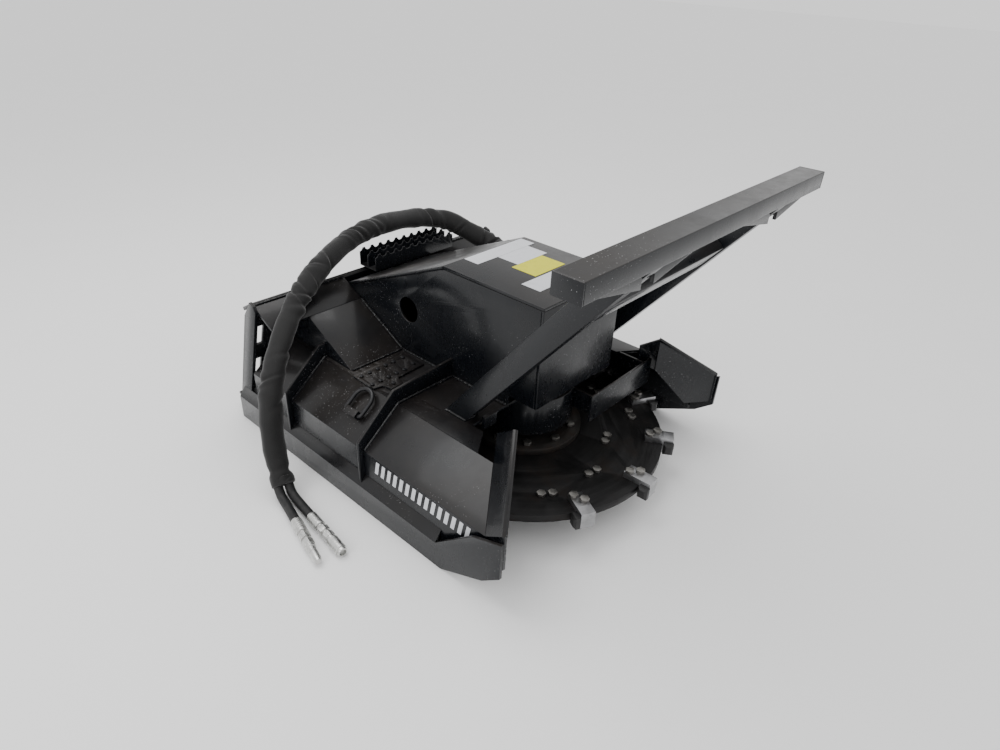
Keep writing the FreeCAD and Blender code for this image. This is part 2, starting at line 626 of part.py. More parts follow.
piece(turned("spindle", [
    ("0", hub_top + " + seat_gap"), ("spindle_radius + 22", hub_top + " + seat_gap"),
    ("spindle_radius + 22", "housing_low - 3"), ("spindle_radius", "housing_low - 3"),
    ("spindle_radius", "housing_top - 12"), ("drive_radius", "housing_top - 12"),
    ("drive_radius", "tower_floor + motor_flange_thick - 1"),
    ("0", "tower_floor + motor_flange_thick - 1")]), "spindle")

# ---------------------------------------------------------------- hub, disc and cutters
disc_y = -size("disc_centre")
disc_top = size("disc_low") + size("disc_thick")
bolt_hole = "bolt_radius + bolt_gap"


def round_the_disc(radius, degrees, across=0.0):
    """A place on the disc: out from its centre, then square to that line."""
    turn = math.radians(degrees)
    return (radius * math.cos(turn) - across * math.sin(turn),
            disc_y + radius * math.sin(turn) + across * math.cos(turn))


def bolt(x, y, seat, length, radius):
    """A hex-headed bolt: its head stands on seat, and its shank goes down from it."""
    points = [Vector(x + 1.9 * radius * math.cos(math.radians(60 * n)),
                     y + 1.9 * radius * math.sin(math.radians(60 * n)), seat) for n in range(7)]
    head = Part.Face(Part.makePolygon(points)).extrude(Vector(0, 0, 1.3 * radius))
    shank = Part.makeCylinder(radius, length, Vector(x, y, seat - length))
    return head.fuse(shank).removeSplitter()


hub_spots = [round_the_disc(size("hub_bolt_ring"), 360 / size("hub_bolt_count") * n + 8)
             for n in range(int(size("hub_bolt_count")))]
tooth_angles = [size("tooth_phase") + 360 / size("tooth_count") * n for n in range(int(size("tooth_count")))]
rim = size("disc_radius")
TOOTH_BOLTS = ((-20, 12), (-46, -12))
tooth_spots = []
for angle in tooth_angles:
    for inset, side_step in TOOTH_BOLTS:
        tooth_spots.append(round_the_disc(rim + inset, angle, side_step))
FACE_CUTTERS = ((0.81, -129), (0.72, -100), (0.61, -66))
face_spots = []
face_places = []
for quarter in range(4):
    for share, angle in FACE_CUTTERS:
        face_places.append((share * rim, angle + 90 * quarter))
        for step in (-18, 18):
            face_spots.append(round_the_disc(share * rim, angle + 90 * quarter, step))

disc = cylinder("disc_blank", "disc_radius", "disc_thick", "0", "-disc_centre", "disc_low")
disc_holes = []
for index, (x, y) in enumerate(hub_spots + tooth_spots + face_spots):
    disc_holes.append(cylinder("disc_hole_%d" % index, bolt_hole, "disc_thick + 20", str(x), str(y),
                               "disc_low - 10"))
piece(cut("disc_cut", disc, *disc_holes), "cutter_disc")
hub = cylinder("hub_blank", "hub_radius", "hub_thick - seat_gap", "0", "-disc_centre",
               "disc_low + disc_thick + seat_gap")
hub_holes = []
for index, (x, y) in enumerate(hub_spots):
    hub_holes.append(cylinder("hub_hole_%d" % index, bolt_hole, "hub_thick + 20", str(x), str(y), hub_low + " - 5"))
piece(cut("hub_cut", hub, *hub_holes), "hub_flange")
grip = size("hub_thick") + size("disc_thick") + 4
piece(solid_feature("hub_bolts", Part.makeCompound(
    [bolt(x, y, disc_top + size("hub_thick") + 0.1, grip, size("bolt_radius")) for x, y in hub_spots])), "hub_bolts")

holders = []
carbides = []
lug = size("holder_reach")
half_wide = size("holder_wide") / 2
thick = size("holder_thick")
for angle in tooth_angles:
    turn = Rotation(Vector(0, 0, 1), angle)
    foot = Part.makeBox(size("holder_long") - lug, 2 * half_wide, thick,
                        Vector(rim - size("holder_long") + lug, -half_wide, disc_top + 0.1))
    end = Part.makeBox(lug - 1, 2 * half_wide, thick + size("disc_thick") + 10,
                       Vector(rim + 1, -half_wide, disc_top - size("disc_thick") - 10))
    bridge = Part.makeBox(2, 2 * half_wide, thick, Vector(rim - 0.5, -half_wide, disc_top + 0.1))
    block = foot.fuse([end, bridge]).removeSplitter()
    for inset, side_step in TOOTH_BOLTS:
        block = block.cut(Part.makeCylinder(size("bolt_radius") + size("bolt_gap"), 2 * thick,
                                            Vector(rim + inset, side_step, disc_top - 5)))
    side_len = size("carbide_side")
    tip_block = Part.makeBox(side_len, 22, side_len + 8,
                             Vector(rim + 4, -half_wide - 22, disc_top - side_len + 2))
    tip_block = tip_block.makeChamfer(7, [edge for edge in tip_block.Edges
                                          if edge.BoundBox.YMax < -half_wide - 21 and edge.Length > 30])
    for shape, group in ((block, holders), (tip_block, carbides)):
        shape.Placement = Placement(Vector(0, disc_y, 0), turn)
        group.append(shape)
piece(solid_feature("tooth_holders", Part.makeCompound(holders)), "tooth_holders")
piece(solid_feature("carbide_teeth", Part.makeCompound(carbides)), "carbide_teeth")
bolts = []
for angle in tooth_angles:
    for inset, side_step in TOOTH_BOLTS:
        shape = bolt(rim + inset, side_step, disc_top + thick + 0.1, thick + size("disc_thick") + 4,
                     size("bolt_radius"))
        shape.Placement = Placement(Vector(0, disc_y, 0), Rotation(Vector(0, 0, 1), angle))
        bolts.append(shape)
piece(solid_feature("tooth_bolts", Part.makeCompound(bolts)), "tooth_bolts")
under = []
for radius, angle in face_places:
    block = Part.makeBox(34, 84, 30, Vector(radius - 17, -42, size("disc_low") - 30.1))
    for step in (-18, 18):
        block = block.cut(Part.makeCylinder(size("bolt_radius") + size("bolt_gap"), 80,
                                            Vector(radius, step, size("disc_low") - 60)))
    block = block.makeChamfer(8, [edge for edge in block.Edges
                                  if edge.BoundBox.ZMax < size("disc_low") - 30 and edge.BoundBox.YLength < 1
                                  and edge.Length > 20])
    block.Placement = Placement(Vector(0, disc_y, 0), Rotation(Vector(0, 0, 1), angle))
    under.append(block)
piece(solid_feature("face_cutters", Part.makeCompound(under)), "face_cutters")
piece(solid_feature("face_cutter_bolts", Part.makeCompound(
    [bolt(x, y, disc_top + 0.1, size("disc_thick") + 20, size("bolt_radius")) for x, y in face_spots])),
      "face_cutter_bolts")

# ---------------------------------------------------------------- hydraulic motor in the tower
flange_z = "tower_floor + seat_gap"
motor_flange = box("motor_flange", "motor_flange", "motor_flange", "motor_flange_thick",
                   "-motor_flange / 2", "-disc_centre - motor_flange / 2", flange_z)
motor_body = cylinder("motor_body", "motor_radius", "motor_tall", "0", "-disc_centre",
                      flange_z + " + motor_flange_thick")
motor_bore = cylinder("motor_bore", "drive_radius + running_gap", "motor_flange_thick + 4", "0", "-disc_centre",
                      flange_z + " - 4")
port_block = box("port_block", "96", "60", "90", "-48", "-disc_centre + motor_radius - 18",
                 "tower_floor + motor_flange_thick + 50")
motor_holes = []
motor_spots = [(sx * 88, sy * 88 + disc_y) for sx in (-1, 1) for sy in (-1, 1)]
for index, (x, y) in enumerate(motor_spots):
    motor_holes.append(cylinder("motor_hole_%d" % index, bolt_hole, "60", str(x), str(y), flange_z + " - 10"))
motor_shell = fuse("motor_shell", motor_flange, motor_body, port_block)
piece(cut("motor_cut", motor_shell, motor_bore, *motor_holes), "hydraulic_motor")
motor_seat = size("tower_floor") + size("motor_flange_thick") + 0.2
piece(solid_feature("motor_bolts", Part.makeCompound(
    [bolt(x, y, motor_seat, size("motor_flange_thick") + 0.05, size("bolt_radius")) for x, y in motor_spots])),
      "motor_bolts")


def tube(points, radius, tightest=0.0):
    """A tube along straight runs joined by arcs that touch them."""
    edges = []
    start = points[0]
    for index in range(1, len(points) - 1):
        before = points[index] - points[index - 1]
        after = points[index + 1] - points[index]
        run = min(before.Length, after.Length)
        turn = before.getAngle(after)
        reach = 0.45 * run
        bend = reach / math.tan(turn / 2)
        ahead = Vector(after).normalize()
        behind = Vector(before).normalize()
        leave = points[index] - behind * reach
        enter = points[index] + ahead * reach
        middle = (ahead - behind).normalize()
        centre = points[index] + middle * (bend / math.cos(turn / 2))
        print("   bend at %d: radius %.0f, turn %.0f, run %.0f" % (index, bend, math.degrees(turn), run))
        edges.append(Part.LineSegment(start, leave).toShape())
        edges.append(Part.Arc(leave, centre - middle * bend, enter).toShape())
        start = enter
    edges.append(Part.LineSegment(start, points[-1]).toShape())
    path = Part.Wire(edges)
    facing = Vector(points[1] - points[0]).normalize()
    section = Part.Wire(Part.makeCircle(radius, points[0], facing))
    shape = path.makePipeShell([section], True, False)
    expected = math.pi * radius ** 2 * path.Length
    print("   length %.0f, volume / expected %.4f" % (path.Length, shape.Volume / expected))
    return shape


port_y = -size("port_back")
port_z = size("port_height")
wall_x = size("tower_half")
motor_back = disc_y + size("motor_radius") + 42
pipes = []
for step in (-20, 20):
    pipes.append(tube([Vector(-22, motor_back + 0.2, port_z + step), Vector(-22, port_y - 90, port_z + step),
                       Vector(-5, port_y - 28, port_z + step), Vector(60, port_y, port_z + step),
                       Vector(wall_x - 31, port_y, port_z + step)], 14))
piece(solid_feature("motor_lines", Part.makeCompound(pipes)), "motor_lines")
outer_gland = Part.makeCylinder(size("port_radius") - 0.3, 50, Vector(wall_x - 30, port_y, port_z), Vector(1, 0, 0))
collar = Part.makeCylinder(size("port_radius") + 12, 8, Vector(wall_x + 0.2, port_y, port_z), Vector(1, 0, 0))
piece(solid_feature("hose_gland", outer_gland.fuse(collar).removeSplitter()), "hose_gland")

# ---------------------------------------------------------------- cover on the deck
cover = plate("cover", "XY", "6", "deck_top + weld_gap",
              [("-440", "-524"), ("-220", "-524"), ("-220", "-628"), ("-340", "-634"), ("-350", "-672"),
               ("-400", "-672"), ("-408", "-638"), ("-440", "-632")])
cover_tools = []
for index, (x, y) in enumerate(COVER_BOLTS):
    cover_tools.append(cylinder("cover_bore_%d" % index, "bolt_radius / 2 + bolt_gap", "30", str(x), str(y),
                                "deck_top - 10"))
piece(cut("cover_cut", cover, *cover_tools), "deck_cover")
cover_seat = size("deck_top") + size("weld_gap") + 6.1
piece(solid_feature("cover_bolts", Part.makeCompound(
    [bolt(x, y, cover_seat, 22, size("bolt_radius") / 2) for x, y in COVER_BOLTS])), "cover_bolts")

# ---------------------------------------------------------------- lifting ring on the left slope
slope_run = size("knee") - size("shoulder")
slope_fall = size("deck_top") - size("knee_height")
slope_turn = math.degrees(math.atan2(slope_fall, slope_run))
out_way = Vector(-slope_run, 0, -slope_fall).normalize()
up_way = Vector(-slope_fall, 0, slope_run).normalize()
seat_point = Vector(-size("shoulder"), -624, size("deck_top")) + out_way * 100 + up_way * 0.3
bar = size("ring_bar")
pin_height = bar + 6.5
half_ring = size("ring_half")
straight = size("ring_long")


def on_slope(across, back, out):
    """A place on the left slope: down the slope, along -Y, and off the surface."""
    return seat_point + out_way * across + Vector(0, -1, 0) * back + up_way * out


bracket = Part.makeBox(24, 56, bar * 2 + 13)
bracket.Placement = Placement(on_slope(-12, -28, 0), Rotation(out_way, Vector(0, -1, 0), up_way, "XYZ"))
hole = Part.makeCylinder(bar + 0.4, 80, on_slope(0, -40, pin_height), Vector(0, -1, 0))
piece(solid_feature("ring_bracket_shape", bracket.cut(hole)), "ring_bracket")
corner = 1.6 * bar


def ring_spot(across, back):
    return on_slope(across, back, pin_height)


def ring_arc(*spots):
    return Part.Arc(*[ring_spot(*spot) for spot in spots]).toShape()


def ring_run(first, last):
    return Part.LineSegment(ring_spot(*first), ring_spot(*last)).toShape()


near = corner * (1 - math.sqrt(0.5))
edge = half_ring - corner
ring_path = Part.Wire([
    ring_run((0, -edge), (0, edge)), ring_arc((0, edge), (-near, half_ring - near), (-corner, half_ring)),
    ring_run((-corner, half_ring), (-straight, half_ring)),
    ring_arc((-straight, half_ring), (-straight - half_ring, 0), (-straight, -half_ring)),
    ring_run((-straight, -half_ring), (-corner, -half_ring)),
    ring_arc((-corner, -half_ring), (-near, near - half_ring), (0, -edge))])
section = Part.Wire(Part.makeCircle(bar, ring_spot(0, -edge), Vector(0, -1, 0)))
piece(solid_feature("ring_shape", ring_path.makePipeShell([section], True, False)), "lifting_ring")

# ---------------------------------------------------------------- front guard and deck bar
piece(plate("front_guard", "XZ", "8", "guard_front - 8",
            box_loop("guard_left", "guard_low", "guard_right", "guard_low + guard_tall")), "front_guard")
stays = []
stays.append(plate("guard_stay_in", "YZ", "8", "guard_left + 20",
                   box_loop("-guard_front + 8 + weld_gap", "guard_low + 14", "-disc_centre - 154.2", "guard_low + 86")))
stays.append(plate("guard_stay_out", "YZ", "8", "strip_in + 6",
                   box_loop("-guard_front + 8 + weld_gap", "guard_low + 14", "-strip_front + 49.5", "deck_top")))
guard_stays = doc.addObject("Part::Compound", "guard_stays")
guard_stays.Links = stays
piece(guard_stays, "guard_stays")
piece(plate("deck_bar", "XZ", "14", "deck_front + weld_gap",
            box_loop("-strip_in + 40", "deck_top - 30", "-tower_half - 60", "deck_top + 12")), "deck_bar")

# ---------------------------------------------------------------- hoses
SLEEVE = [(215.1, -525, 491), (288, -525, 491), (368, -510, 487), (432, -462, 484), (462, -388, 488),
          (448, -306, 508), (396, -236, 548), (322, -170, 602), (228, -142, 620), (114, -126, 634),
          (-20, -120, 634), (-160, -137, 613), (-300, -182, 576), (-430, -242, 523), (-543, -313, 460),
          (-632, -366, 362), (-684, -406, 262), (-712, -442, 170), (-729, -484, 93), (-742, -528, 48)]
HOSE_A = [(-758.3, -523.3, 47.9), (-763.6, -541.1, 29.7), (-768, -566, 21.5), (-776, -606, 19.2), (-792, -668, 19.2)]
HOSE_B = [(-725.7, -532.9, 47.9), (-731, -550.7, 29.7), (-734, -576, 21.5), (-738, -616, 19.2), (-746, -682, 19.2)]


def route(points):
    return [Vector(*point) for point in points]


print("sleeve")
piece(solid_feature("hose_sleeve", tube(route(SLEEVE), size("sleeve_radius"))), "hose_sleeve")
for name, points in (("hose_a", HOSE_A), ("hose_b", HOSE_B)):
    print(name)
    piece(solid_feature(name, tube(route(points), size("hose_radius"))), name)
ferrules = []
adapters = []
for name, points in (("a", HOSE_A), ("b", HOSE_B)):
    way = (Vector(*points[-1]) - Vector(*points[-2])).normalize()
    start = Vector(*points[-1]) + way * 0.1
    ferrule = Part.makeCylinder(18.5, 58, start, way)
    start = start + way * 58.1
    sides = Part.makeCylinder(14, 40, start, way)
    hexagon = Part.makeCylinder(18.7, 22, start + way * 9, way)
    adapter = sides.fuse(hexagon).removeSplitter()
    start = start + way * 40.1
    ferrules.append(ferrule)
    adapters.append(adapter)
    if name == "a":
        plug = Part.makeCylinder(18.5, 34, start, way)
        nose = Part.makeCylinder(13.5, 50, start + way * 34, way)
        tip = Part.makeCone(13.5, 10, 10, start + way * 84, way)
        piece(solid_feature("coupler_male", plug.fuse([nose, tip]).removeSplitter()), "coupler_male")
    else:
        socket = Part.makeCylinder(15.6, 96, start, way)
        shoulder_ring = Part.makeCylinder(18.8, 22, start, way)
        bore = Part.makeCylinder(11, 60, start + way * 40, way)
        body = socket.fuse(shoulder_ring).cut(bore)
        piece(solid_feature("coupler_female", body.removeSplitter()), "coupler_female")
        collar = Part.makeCylinder(18.9, 54, start + way * 32, way)
        collar = collar.cut(Part.makeCylinder(15.65, 60, start + way * 30, way))
        piece(solid_feature("locking_collar", collar), "locking_collar")
        print("collar axis", way, "start", start)
piece(solid_feature("hose_ferrules", Part.makeCompound(ferrules)), "hose_ferrules")
piece(solid_feature("hose_adapters", Part.makeCompound(adapters)), "hose_adapters")

doc.recompute()

# ---------------------------------------------------------------- files
broken = [item.Name for item in doc.Objects if "Invalid" in item.State or "Error" in item.State]
for item in pieces:
    if item.Shape.isNull() or not item.Shape.isValid():
        broken.append(item.Label + " (shape)")
if broken:
    raise RuntimeError("failed: " + ", ".join(broken))
os.makedirs("parts", exist_ok=True)
for item in pieces:
    item.Shape.exportStep("parts/%s.step" % item.Label)
    bounds = item.Shape.BoundBox
    print("%-20s solids %2d volume %11.0f x %6.0f %6.0f y %6.0f %6.0f z %5.0f %5.0f" % (
        item.Label, len(item.Shape.Solids), item.Shape.Volume,
        bounds.XMin, bounds.XMax, bounds.YMin, bounds.YMax, bounds.ZMin, bounds.ZMax))
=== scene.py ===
import bmesh
import bpy
import json
import math
import numpy as np
from mathutils import Matrix, Vector


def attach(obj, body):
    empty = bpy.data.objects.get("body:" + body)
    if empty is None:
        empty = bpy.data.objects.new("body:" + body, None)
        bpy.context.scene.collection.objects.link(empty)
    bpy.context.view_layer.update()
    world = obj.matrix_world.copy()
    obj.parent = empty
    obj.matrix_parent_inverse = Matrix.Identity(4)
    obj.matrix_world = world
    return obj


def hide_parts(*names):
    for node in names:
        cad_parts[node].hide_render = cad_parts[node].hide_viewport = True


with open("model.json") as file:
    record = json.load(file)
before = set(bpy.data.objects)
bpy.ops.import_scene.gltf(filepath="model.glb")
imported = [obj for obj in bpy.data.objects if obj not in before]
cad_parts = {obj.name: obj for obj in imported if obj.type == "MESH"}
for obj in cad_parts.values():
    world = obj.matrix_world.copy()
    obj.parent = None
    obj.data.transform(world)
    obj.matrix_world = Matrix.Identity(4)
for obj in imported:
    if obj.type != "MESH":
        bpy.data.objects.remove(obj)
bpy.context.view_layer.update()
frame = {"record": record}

FRAME = "frame"
ROTOR = "rotor"
DISC_CENTRE_Y = -0.905
HOSE_RADIUS = 0.015

# ---------------------------------------------------------------- camera
# The view stands to the left of the machine and in front of it, a little above
# a person's eye, and looks down on the deck with a short lens.
yaw, pitch, roll = math.radians(49.31), math.radians(31.57), math.radians(3.08)
ahead = Vector((math.sin(yaw) * math.cos(pitch), math.cos(yaw) * math.cos(pitch), -math.sin(pitch)))
level = Vector((math.cos(yaw), -math.sin(yaw), 0))
above = level.cross(ahead)
right = math.cos(roll) * level + math.sin(roll) * above
upward = math.cos(roll) * above - math.sin(roll) * level
lens = bpy.data.cameras.new("camera")
lens.sensor_width = 36
lens.lens = 24.69
lens.clip_end = 60
camera = bpy.data.objects.new("camera", lens)
camera.matrix_world = Matrix((
    (right.x, upward.x, -ahead.x, -1.5712),
    (right.y, upward.y, -ahead.y, -2.1338),
    (right.z, upward.z, -ahead.z, 1.5371),
    (0, 0, 0, 1)))
bpy.context.scene.collection.objects.link(camera)
bpy.context.scene.camera = camera


# ---------------------------------------------------------------- painted weldment
# Plates, ribs, tower, skids and beams are cut steel sheet, welded and sprayed
# with thick gloss black. Every cut edge is eased, so it carries a thin light
# line; upward faces hold a warm film of workshop dust.
class Shade:
    """A value in a material's nodes. Arithmetic on it adds Math nodes."""

    def __init__(self, tree, socket=None):
        self.tree = tree
        self.socket = socket

    def node(self, kind, settings=None, inputs=None, out=0):
        """Adds a node, sets it up, fills its sockets, and gives one of its outputs."""
        made = self.tree.nodes.new(kind)
        for key, value in (settings or {}).items():
            setattr(made, key, value)
        for key, value in (inputs or {}).items():
            if isinstance(value, Shade):
                self.tree.links.new(value.socket, made.inputs[key])
            else:
                made.inputs[key].default_value = value
        return Shade(self.tree, made.outputs[out])

    def sum_of(self, operation, first, second=0.0, clamp=False):
        return self.node("ShaderNodeMath", {"operation": operation, "use_clamp": clamp},
                         {0: first, 1: second})

    def __add__(self, other):
        return self.sum_of("ADD", self, other)

    def __radd__(self, other):
        return self.sum_of("ADD", other, self)

    def __sub__(self, other):
        return self.sum_of("SUBTRACT", self, other)

    def __rsub__(self, other):
        return self.sum_of("SUBTRACT", other, self)

    def __mul__(self, other):
        return self.sum_of("MULTIPLY", self, other)

    def __rmul__(self, other):
        return self.sum_of("MULTIPLY", other, self)

    def __truediv__(self, other):
        return self.sum_of("DIVIDE", self, other)

    def __pow__(self, other):
        return self.sum_of("POWER", self, other)

    def band(self, low, high):
        """0 below low, 1 above high, and a straight ramp between them."""
        return self.node("ShaderNodeMapRange", {}, {"Value": self, "From Min": low, "From Max": high})

    def mix(self, first, second):
        """A colour between first and second, by this value."""
        return self.node("ShaderNodeMix", {"data_type": "RGBA"}, {0: self, 6: first, 7: second}, out=2)

    def noise(self, where, scale, detail=3.0, roughness=0.55, stretch=(1, 1, 1)):
        """Soft noise from 0 to 1 at a place, stretched along the axes."""
        spread = self.node("ShaderNodeMapping", {}, {"Vector": where, "Scale": stretch})
        return self.node("ShaderNodeTexNoise", {}, {"Vector": spread, "Scale": scale, "Detail": detail,
                                                    "Roughness": roughness})


def finish_of(name, constants):
    """A new material: its name, and the constants of its Principled shader."""
    material = bpy.data.materials.new(name)
    material.use_nodes = True
    tree = material.node_tree
    shader = tree.nodes["Principled BSDF"]
    for key, value in constants.items():
        shader.inputs[key].default_value = value
    here = Shade(tree).node("ShaderNodeTexCoord", {}, {}, out=3)
    return material, tree, shader, here


def feed(tree, shader, **sockets):
    """Links values to the shader's sockets, whose names are given with _ for a space."""
    for key, value in sockets.items():
        tree.links.new(value.socket, shader.inputs[key.replace("_", " ")])


def bumped(here, height, distance, strength=1.0):
    return here.node("ShaderNodeBump", {}, {"Height": height, "Distance": distance, "Strength": strength})


def gloss_black(name, dust=1.0, chip_and_glint_amount=1.0):
    """Thick black gloss: runs and waves in the coat, dust on top, pale chipped paint; on welds the pale
    specks also stand for painted highlights on spatter.
    """
    material, tree, shader, here = finish_of(name, {"Specular IOR Level": 0.3, "Coat Weight": 0.14,
                                                    "Coat Roughness": 0.1})
    facing = here.node("ShaderNodeNewGeometry", {}, {}, out=1)
    tall = here.node("ShaderNodeSeparateXYZ", {}, {"Vector": facing}, out=2)
    cloud = here.noise(here, 3.2, 5.0, 0.6)
    fine = here.noise(here, 46.0, 4.0, 0.65)
    top = tall.band(0.2, 0.95) * cloud.band(0.28, 0.72) * dust
    streak = here.noise(here, 9.0, 6.0, 0.7, (1, 1, 0.25))
    base = top.mix((0.0034, 0.0042, 0.0058, 1), (0.015, 0.0118, 0.0098, 1))
    base = (streak.band(0.56, 0.8) * 0.5).mix(base, (0.013, 0.014, 0.016, 1))
    # Pale specks: chipped paint, and on welds also painted highlights on spatter.
    chips_and_glints = here.noise(here, 260.0, 2.0, 0.5).band(0.7, 0.73) * cloud.band(0.46, 0.6) * chip_and_glint_amount
    base = chips_and_glints.mix(base, (0.42, 0.42, 0.43, 1))
    rough = 0.2 + top * 0.14 + fine * 0.1 + streak.band(0.45, 0.85) * 0.16 + chips_and_glints * 0.2
    peel = here.noise(here, 340.0, 1.0, 0.4)
    wave = here.noise(here, 7.0, 2.0, 0.4)
    feed(tree, shader, Base_Color=base, Roughness=rough,
         Normal=bumped(here, peel * 0.06 + wave * 1.1 - chips_and_glints * 0.25, 0.0016, 0.55))
    return material


def dressed(node, material, edge, body=FRAME, steps=2):
    """The CAD node's own shape with its doubled corners merged and its edges eased."""
    source = bpy.data.objects[node]
    mesh = source.data.copy()
    piece = bpy.data.objects.new(node + "_body", mesh)
    bpy.context.scene.collection.objects.link(piece)
    shape = bmesh.new()
    shape.from_mesh(mesh)
    bmesh.ops.remove_doubles(shape, verts=shape.verts, dist=2e-6)
    bmesh.ops.dissolve_limit(shape, angle_limit=0.01, verts=shape.verts, edges=shape.edges)
    shape.to_mesh(mesh)
    shape.free()
    mesh.polygons.foreach_set("use_smooth", np.ones(len(mesh.polygons), dtype=bool))
    mesh.materials.clear()
    mesh.materials.append(material)
    bevel = piece.modifiers.new("eased", "BEVEL")
    bevel.width = edge
    bevel.segments = steps
    bevel.limit_method = "ANGLE"
    bevel.angle_limit = math.radians(28)
    bevel.harden_normals = True
    bevel.use_clamp_overlap = True
    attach(piece, body)
    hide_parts(node)
    next(part["material_slot"] for part in frame["record"]["subparts"]
                        if part["node"] == node)
    return piece


paint = gloss_black("gloss_black")
WELDMENT = ("tower_floor", "mount_plate", "upper_hook", "lower_lip", "plate_ear_left", "plate_ear_right",
            "top_flange", "step_tread", "deck_plate", "side_panel_left", "side_panel_right", "skid_left",
            "skid_right", "rear_ribs", "front_ribs", "tower_braces", "tower_side_left",
            "tower_side_right", "tower_top", "tower_back", "tower_front", "arm_left", "arm_right",
            "cross_member", "bar_gussets", "front_flare_left", "front_flare_right", "front_guard",
            "guard_stays", "deck_bar", "bearing_housing", "deck_cover", "ring_bracket", "bar_end_caps")
for node in WELDMENT:
    dressed(node, paint, 0.0016)
dressed("push_bar", paint, 0.006, steps=3)


# ---------------------------------------------------------------- weld beads
# The plates are joined by hand-laid fillet welds, which show under the paint as
# raised rows of overlapping ripples. Pale specks on the beads are chipped paint and painted highlights on
# weld spatter.
def surface(name, places, material, body, closed_round=True, capped=False):
    """A mesh from a grid of places, rows along and columns round."""
    rows, columns = places.shape[:2]
    corner = np.arange(rows * columns).reshape(rows, columns)
    across = np.roll(corner, -1, axis=1) if closed_round else corner[:, 1:]
    base = corner if closed_round else corner[:, :-1]
    faces = np.stack([base[:-1], across[:-1], across[1:], base[1:]], axis=-1).reshape(-1, 4).tolist()
    if capped:
        faces.append(corner[0, ::-1].tolist())
        faces.append(corner[-1].tolist())
    mesh = bpy.data.meshes.new(name)
    mesh.from_pydata(places.reshape(-1, 3).tolist(), [], faces)
    mesh.polygons.foreach_set("use_smooth", np.ones(len(mesh.polygons), dtype=bool))
    if capped:
        mesh.set_sharp_from_angle(angle=0.7)
    mesh.materials.append(material)
    piece = bpy.data.objects.new(name, mesh)
    bpy.context.scene.collection.objects.link(piece)
    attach(piece, body)
    return piece


def along(points, step):
    """Evenly spaced places on straight runs, and the direction at each."""
    points = np.asarray(points, float)
    runs = np.linalg.norm(np.diff(points, axis=0), axis=1)
    reach = np.concatenate([[0], np.cumsum(runs)])
    count = max(3, int(reach[-1] / step) + 1)
    travel = np.linspace(0, reach[-1], count)
    places = np.stack([np.interp(travel, reach, points[:, k]) for k in range(3)], axis=1)
    ways = np.gradient(places, axis=0)
    return travel, places, ways / np.linalg.norm(ways, axis=1, keepdims=True)


def carried(places, ways, radius, start_up=(0.13, 0.21, 0.97)):
    """Rings of the given radii, carried square to the line without twist."""
    up = np.array(start_up, float)
    side_ways = []
    ups = []
    for way in ways:
        up = up - way * np.dot(up, way)
        up = up / np.linalg.norm(up)
        ups.append(up)
        side_ways.append(np.cross(way, up))
    side_ways, ups = np.array(side_ways), np.array(ups)
    turn = np.linspace(0, 2 * np.pi, radius.shape[1], endpoint=False)
    return (places[:, None] + radius[..., None] * (np.cos(turn)[None, :, None] * side_ways[:, None]
                                                   + np.sin(turn)[None, :, None] * ups[:, None]))


chance = np.random.default_rng(7)


def bead(name, points, radius=0.0048, ripple=0.0052):
    """A weld bead: its radius swells and dips once each ripple, with hand-made unevenness."""
    travel, places, ways = along(points, 0.0016)
    sway = np.interp(travel, np.linspace(0, travel[-1] + 0.01, 60), chance.normal(0, 0.0005, 60))
    swell = radius * (0.86 + 0.2 * np.abs(np.sin(np.pi * travel / ripple)) + sway / radius)
    swell[0] = swell[-1] = radius * 0.35
    rings = carried(places, ways, np.repeat(swell[:, None], 7, axis=1))
    return surface(name, rings, weld_paint, FRAME, capped=True)


# Welds get more pale specks, which are painted highlights on spatter.
weld_paint = gloss_black("weld_black", dust=0.6, chip_and_glint_amount=2.2)
for side, name in ((-1, "left"), (1, "right")):
    seams = {
        "tower_foot": [(0.198, -0.49, 0.3285), (0.198, -0.73, 0.3285)],
        "tower_foot_front": [(0.198, -0.744, 0.3285), (0.198, -0.983, 0.3285)],
        "tower_slope": [(0.1955, -0.262, 0.51), (0.1955, -0.692, 0.6975)],
        "brace_side": [(0.1975, -0.27, 0.4455), (0.1975, -0.488, 0.3305)],
        "brace_foot": [(0.2, -0.4915, 0.3285), (0.417, -0.4915, 0.3285)],
        "rib_front_a": [(0.2, -0.7445, 0.3285), (0.434, -0.7445, 0.3285), (0.5735, -0.7445, 0.2175)],
        "rib_front_b": [(0.2, -0.7295, 0.3285), (0.434, -0.7295, 0.3285), (0.5735, -0.7295, 0.2175)],
        "rib_rear_a": [(0.422, -0.3575, 0.3285), (0.434, -0.3575, 0.3285), (0.5735, -0.3575, 0.2175)],
        "rib_rear_b": [(0.422, -0.3425, 0.3285), (0.434, -0.3425, 0.3285), (0.5735, -0.3425, 0.2175)],
        "arm_foot": [(0.299, -0.87, 0.3285), (0.299, -0.954, 0.3285), (0.325, -0.958, 0.3285),
                     (0.351, -0.954, 0.3285), (0.351, -0.87, 0.3285)],
        "flange": [(0.2, -0.1665, 0.498), (0.56, -0.1665, 0.498)],
    }
    for label, line in seams.items():
        bead("weld_%s_%s" % (label, name), [(side * x, y, z) for x, y, z in line])


